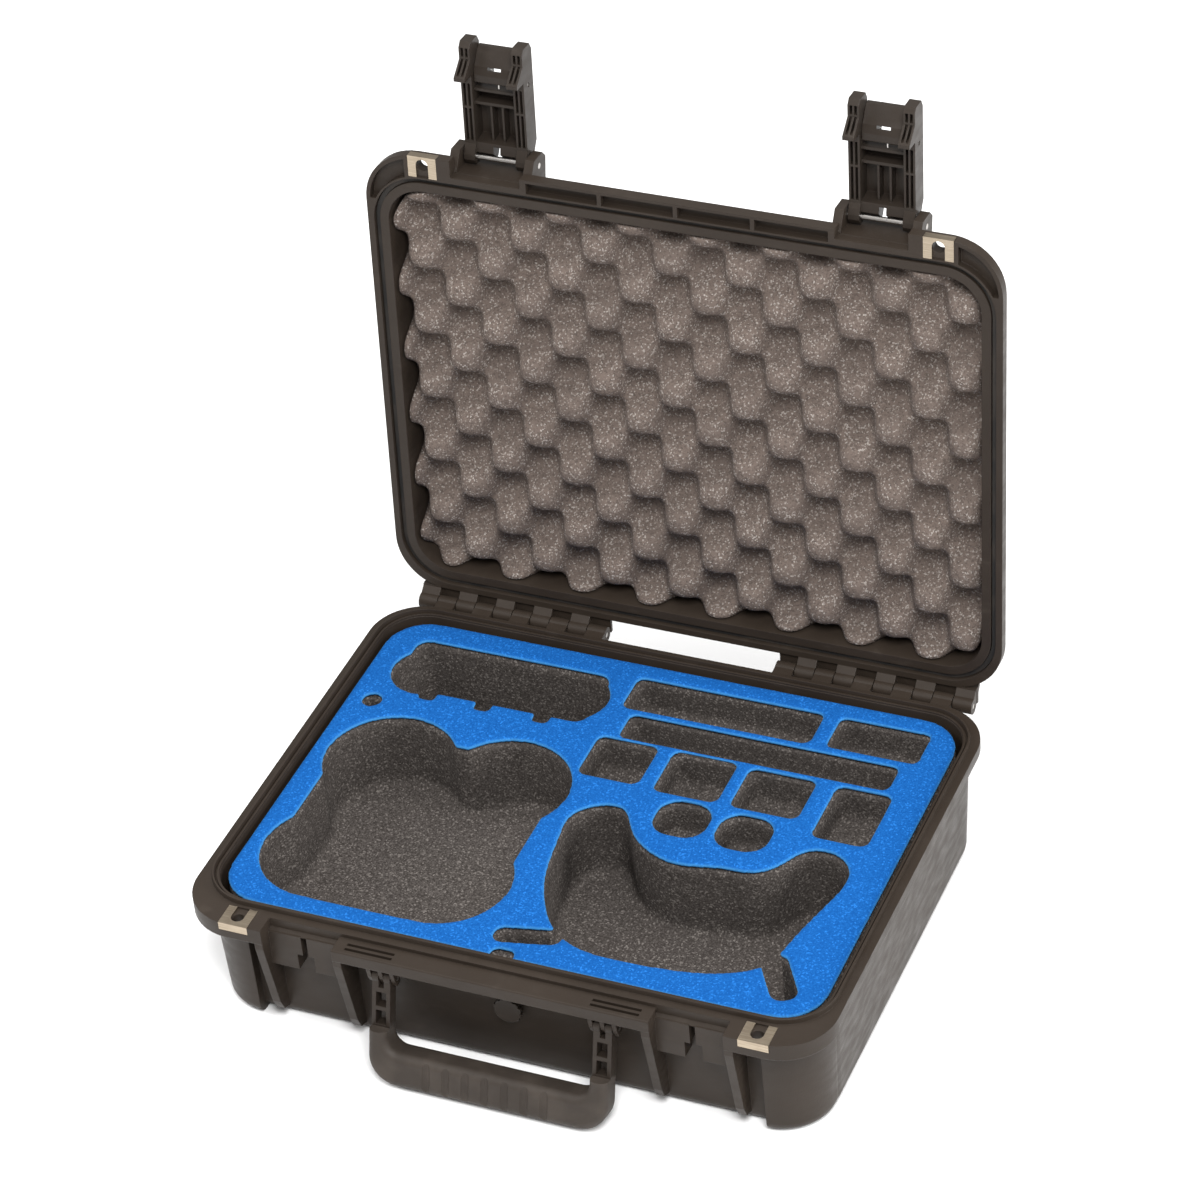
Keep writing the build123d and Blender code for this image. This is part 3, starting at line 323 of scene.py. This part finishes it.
def joined_blocks(blocks, name):
    """One closed mesh from the CAD blocks of a foam layer, without the faces where they touch."""
    trees = {}
    for block in blocks:
        mesh = nodes[block].data
        trees[block] = BVHTree.FromPolygons([vertex.co for vertex in mesh.vertices],
                                            [tuple(face.vertices) for face in mesh.polygons])
    places, faces = [], []
    for block in blocks:
        mesh = nodes[block].data
        others = [trees[other] for other in blocks if other != block]
        start = len(places)
        places.extend(vertex.co.copy() for vertex in mesh.vertices)
        for face in mesh.polygons:
            ahead = face.center + TOUCH * face.normal
            if not any(lies_in(tree, ahead) for tree in others):
                faces.append([start + index for index in face.vertices])
    whole = bpy.data.meshes.new(name)
    whole.from_pydata(places, [], faces)
    work = bmesh.new()
    work.from_mesh(whole)
    bmesh.ops.remove_doubles(work, verts=work.verts, dist=WELD)
    bmesh.ops.recalc_face_normals(work, faces=work.faces)
    work.to_mesh(whole)
    work.free()
    return whole


def cut_foam(blocks, name, material, voxel, softening, height):
    """A foam layer with softened cut edges and a slightly uneven surface."""
    piece = new_piece(name, joined_blocks(blocks, name), material)
    remesh = piece.modifiers.new("cells", "REMESH")
    remesh.mode = "VOXEL"
    remesh.voxel_size = voxel
    remesh.use_smooth_shade = True
    smooth = piece.modifiers.new("soft_edges", "SMOOTH")
    smooth.iterations = softening
    smooth.factor = 0.5
    ripple = bpy.data.textures.new(name + "_ripple", "CLOUDS")
    ripple.noise_scale = CUT_RIPPLE
    uneven = piece.modifiers.new("uneven", "DISPLACE")
    uneven.texture = ripple
    uneven.texture_coords = "LOCAL"
    uneven.strength = height
    uneven.mid_level = 0.5
    return fixed(piece)


class Sheet(Wiring):
    """Arithmetic for the foam sheet's Geometry Nodes tree."""

    def calc(self, operation, first, second=0.0):
        """One step of arithmetic."""
        return self.add("ShaderNodeMath", {0: first, 1: second}, operation=operation).outputs[0]

    def wave(self, place, phase, pitch):
        """Cosine along one direction with the given pitch."""
        turn = self.calc("MULTIPLY", self.calc("ADD", place, phase), 2 * pi)
        return self.calc("COSINE", self.calc("DIVIDE", turn, pitch))


def convoluted_tree():
    """Sheet with rounded corners, a flat back and staggered peaks that point down."""
    tree = bpy.data.node_groups.new("convoluted_foam", "GeometryNodeTree")
    for name, start in (("Width", 0.4), ("Depth", 0.3), ("Corner", 0.03), ("Back", 0.01),
                        ("Peak", 0.02), ("Pitch", 0.05), ("Step", 0.003), ("Phase X", 0.0),
                        ("Phase Y", 0.0), ("Firmness", 1.0)):
        socket = tree.interface.new_socket(name, in_out="INPUT", socket_type="NodeSocketFloat")
        socket.default_value = start
    tree.interface.new_socket("Foam", in_out="INPUT", socket_type="NodeSocketMaterial")
    tree.interface.new_socket("Geometry", in_out="OUTPUT", socket_type="NodeSocketGeometry")
    sheet = Sheet(tree)
    given = sheet.add("NodeGroupInput").outputs
    counts = [sheet.calc("ADD", sheet.calc("DIVIDE", given[side], given["Step"]), 1.0)
              for side in ("Width", "Depth")]
    grid = sheet.add("GeometryNodeMeshGrid", {"Size X": given["Width"], "Size Y": given["Depth"],
                                              "Vertices X": counts[0], "Vertices Y": counts[1]})
    # square corners of the grid are drawn in to round ones
    place = sheet.add("ShaderNodeSeparateXYZ", {0: sheet.add("GeometryNodeInputPosition").outputs[0]})
    reach, past = [], []
    for axis, side in ((0, "Width"), (1, "Depth")):
        away = sheet.calc("ABSOLUTE", place.outputs[axis])
        straight = sheet.calc("SUBTRACT", sheet.calc("MULTIPLY", given[side], 0.5), given["Corner"])
        reach.append(sheet.calc("MINIMUM", away, straight))
        past.append(sheet.calc("MAXIMUM", sheet.calc("SUBTRACT", away, straight), 0.0))
    squares = sheet.calc("ADD", sheet.calc("MULTIPLY", past[0], past[0]),
                         sheet.calc("MULTIPLY", past[1], past[1]))
    length = sheet.calc("MAXIMUM", sheet.calc("SQRT", squares), 1e-6)
    shrink = sheet.calc("DIVIDE", sheet.calc("MAXIMUM", past[0], past[1]), length)
    corner = []
    for axis in (0, 1):
        size = sheet.calc("ADD", reach[axis], sheet.calc("MULTIPLY", past[axis], shrink))
        corner.append(sheet.calc("MULTIPLY", size, sheet.calc("SIGN", place.outputs[axis])))
    outline = sheet.add("ShaderNodeCombineXYZ", {0: corner[0], 1: corner[1], 2: 0.0}).outputs[0]
    rounded = sheet.add("GeometryNodeSetPosition", {"Geometry": grid.outputs["Mesh"],
                                                    "Position": outline})
    # thickness, then the peaks on the front face
    flipped = sheet.add("GeometryNodeFlipFaces", {0: rounded.outputs[0]})
    down = sheet.add("ShaderNodeCombineXYZ", {2: sheet.calc("MULTIPLY", given["Back"], -1.0)}).outputs[0]
    block = sheet.add("GeometryNodeExtrudeMesh", {"Mesh": flipped.outputs[0], "Offset": down,
                                                  "Individual": False})
    spot = sheet.add("ShaderNodeSeparateXYZ", {0: sheet.add("GeometryNodeInputPosition").outputs[0]})
    waves = sheet.calc("MULTIPLY", sheet.wave(spot.outputs[0], given["Phase X"], given["Pitch"]),
                       sheet.wave(spot.outputs[1], given["Phase Y"], given["Pitch"]))
    firm = sheet.calc("TANH", sheet.calc("MULTIPLY", waves, given["Firmness"]))
    level = sheet.calc("DIVIDE", firm, sheet.calc("TANH", given["Firmness"]))
    rise = sheet.calc("ADD", sheet.calc("MULTIPLY", level, 0.5), 0.5)
    drop = sheet.calc("MULTIPLY", sheet.calc("MULTIPLY", rise, given["Peak"]), -1.0)
    offset = sheet.add("ShaderNodeCombineXYZ", {2: drop}).outputs[0]
    front = sheet.add("GeometryNodeSetPosition", {"Geometry": block.outputs["Mesh"],
                                                  "Selection": block.outputs["Top"], "Offset": offset})
    both = sheet.add("GeometryNodeJoinGeometry")
    tree.links.new(rounded.outputs[0], both.inputs[0])
    tree.links.new(front.outputs[0], both.inputs[0])
    whole = sheet.add("GeometryNodeMergeByDistance", {"Geometry": both.outputs[0], "Distance": WELD})
    smooth = sheet.add("GeometryNodeSetShadeSmooth", {"Geometry": whole.outputs[0]})
    real = sheet.add("GeometryNodeRealizeInstances", {0: smooth.outputs[0]})
    painted = sheet.add("GeometryNodeSetMaterial", {"Geometry": real.outputs[0],
                                                    "Material": given["Foam"]})
    result = tree.nodes.new("NodeGroupOutput")
    tree.links.new(painted.outputs[0], result.inputs[0])
    return tree


def opening_turn():
    """Matrix from the closed case to the open one, for pieces that ride on the lid."""
    hinge = joints["lid_hinge"]
    place = Vector(hinge["pos_m"])
    turn = Matrix.Rotation(-radians(hinge["range_deg"][0]), 4, Vector(hinge["axis"]))
    return Matrix.Translation(place) @ turn @ Matrix.Translation(-place)


def closed_box(node):
    """Lowest and highest corners of a lid node on the closed case."""
    back = opening_turn().inverted()
    places = [back @ vertex.co for vertex in nodes[node].data.vertices]
    low = Vector([min(place[axis] for place in places) for axis in range(3)])
    high = Vector([max(place[axis] for place in places) for axis in range(3)])
    return low, high


def lid_foam_piece(material):
    """Convoluted foam sheet in the lid."""
    low, high = closed_box("lid_foam")
    holder = new_piece("lid_convoluted_foam", bpy.data.meshes.new("lid_convoluted_foam"), material)
    tree = convoluted_tree()
    grow = holder.modifiers.new("convolution", "NODES")
    grow.node_group = tree
    sizes = {"Width": high.x - low.x, "Depth": high.y - low.y, "Corner": FOAM_CORNER, "Back": FOAM_BACK,
             "Peak": high.z - low.z - FOAM_BACK, "Pitch": FOAM_PITCH, "Step": FOAM_STEP,
             "Phase X": FOAM_PHASE[0], "Phase Y": FOAM_PHASE[1], "Firmness": FOAM_FIRMNESS,
             "Foam": material}
    for item in tree.interface.items_tree:
        if item.in_out == "INPUT":
            grow[item.identifier] = sizes[item.name]
    fixed(holder)
    middle = Matrix.Translation((0.5 * (low.x + high.x), 0.5 * (low.y + high.y), high.z))
    holder.data.transform(opening_turn() @ middle)
    return holder


# ---- finishes --------------------------------------------------------------------------------
shell_finish = moulded_plastic("moulded_shell", PLASTIC, PLASTIC_LIGHT, 0.42)
latch_finish = moulded_plastic("moulded_latch", LATCH, LATCH_LIGHT, 0.38)
grip_finish = soft_rubber("handle_rubber", RUBBER)
seal_finish = soft_rubber("seal_rubber", SEAL_RUBBER)
plate_finish = brushed_plate("brushed_plate")
pin_finish = turned_steel("turned_steel")
face_finish = closed_cell_foam("blue_foam_face", BLUE_DEEP, BLUE, BLUE_SPECK, BLUE_SIDE_HIGHLIGHT)
core_finish = closed_cell_foam("charcoal_foam_core", CHARCOAL_DEEP, CHARCOAL, CHARCOAL_SPECK)
lid_foam_finish = open_cell_foam("convoluted_foam", FOAM_PORE, FOAM_BROWN, FOAM_PAINTED_GLINT)

finish_of = {"shell": shell_finish, "valve_body": shell_finish, "valve_knob": latch_finish,
             "valve_nut": latch_finish, "valve_seal": seal_finish, "latch_frame": latch_finish,
             "latch_trigger": latch_finish, "handle_frame": latch_finish, "handle_grip": grip_finish,
             "lid_gasket": seal_finish, "plate": plate_finish, "pin": pin_finish, "spring": pin_finish}
for name, piece in nodes.items():
    for key, finish in finish_of.items():
        if key in name:
            piece.data.materials.clear()
            piece.data.materials.append(finish)

# ---- foam ------------------------------------------------------------------------------------
lid_foam = lid_foam_piece(lid_foam_finish)
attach(lid_foam, "lid")
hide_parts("lid_foam")

# start of the node names, piece, finish, voxel, rounds of softening, height of the ripple, slot
layers = (("foam_face", "blue_foam_layer", face_finish, FACE_VOXEL, 3, 0.0002, "foam_blue"),
          ("foam_core", "pocketed_foam_core", core_finish, CORE_VOXEL, 2, 0.0004, "foam_charcoal"),
          ("foam_floor_pad", "foam_base_pad", core_finish, PAD_VOXEL, 2, 0.0002, "foam_charcoal"))
for layer_name, name, finish, voxel, softening, uneven, slot_name in layers:
    blocks = sorted(node for node in nodes if node.startswith(layer_name))
    layer = cut_foam(blocks, name, finish, voxel, softening, uneven)
    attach(layer, "base")
    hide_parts(*blocks)


# ---- studio ----------------------------------------------------------------------------------
def studio_floor():
    """Plain pale floor with a faint, even grain."""
    mesh = bpy.data.meshes.new("studio_floor")
    corners = [(FLOOR_REACH * x, FLOOR_REACH * y, 0) for x, y in ((-1, -1), (1, -1), (1, 1), (-1, 1))]
    mesh.from_pydata(corners, [], [(0, 1, 2, 3)])
    finish = Finish("pale_floor", 0.85, specular=0.1)
    grain = finish.between(finish.noise(FLOOR_GRAIN), 0.0, 1.0)
    finish.colour(finish.mix(grain, FLOOR_DARK, FLOOR_PALE))
    floor = new_piece("studio_floor", mesh, finish.material)


def soft_box(name, place, aim, width, height, power):
    """Rectangular area light that faces a point."""
    light = bpy.data.lights.new(name, "AREA")
    light.shape = "RECTANGLE"
    light.size = width
    light.size_y = height
    light.energy = power
    lamp = bpy.data.objects.new(name, light)
    lamp.location = place
    lamp.rotation_euler = (Vector(place) - Vector(aim)).to_track_quat("Z", "Y").to_euler()
    bpy.context.scene.collection.objects.link(lamp)


def studio_camera():
    """Long lens, a little to the right of the case and above it."""
    camera = bpy.data.cameras.new("camera")
    camera.lens = CAMERA_LENS
    camera.sensor_width = CAMERA_SENSOR
    camera.clip_end = CAMERA_SIGHT
    lens = bpy.data.objects.new("camera", camera)
    azimuth, elevation = radians(CAMERA_AZIMUTH), radians(CAMERA_ELEVATION)
    back = Vector((0, -1, 0))
    back.rotate(Matrix.Rotation(-elevation, 3, "X"))
    back.rotate(Matrix.Rotation(azimuth, 3, "Z"))
    look = back.to_track_quat("Z", "Y").to_matrix().to_4x4()
    roll = Matrix.Rotation(radians(CAMERA_ROLL), 4, "Z")
    place = Vector(CAMERA_AIM) + back * CAMERA_DISTANCE
    lens.matrix_world = Matrix.Translation(place) @ look @ roll
    bpy.context.scene.collection.objects.link(lens)
    bpy.context.scene.camera = lens


studio_floor()
studio_camera()
for light in LIGHTS:
    soft_box(*light)
world = bpy.data.worlds.new("studio")
world.use_nodes = True
background = world.node_tree.nodes["Background"]
background.inputs["Color"].default_value = WORLD_COLOUR
background.inputs["Strength"].default_value = WORLD_STRENGTH
bpy.context.scene.world = world
bpy.context.scene.view_settings.view_transform = "Standard"
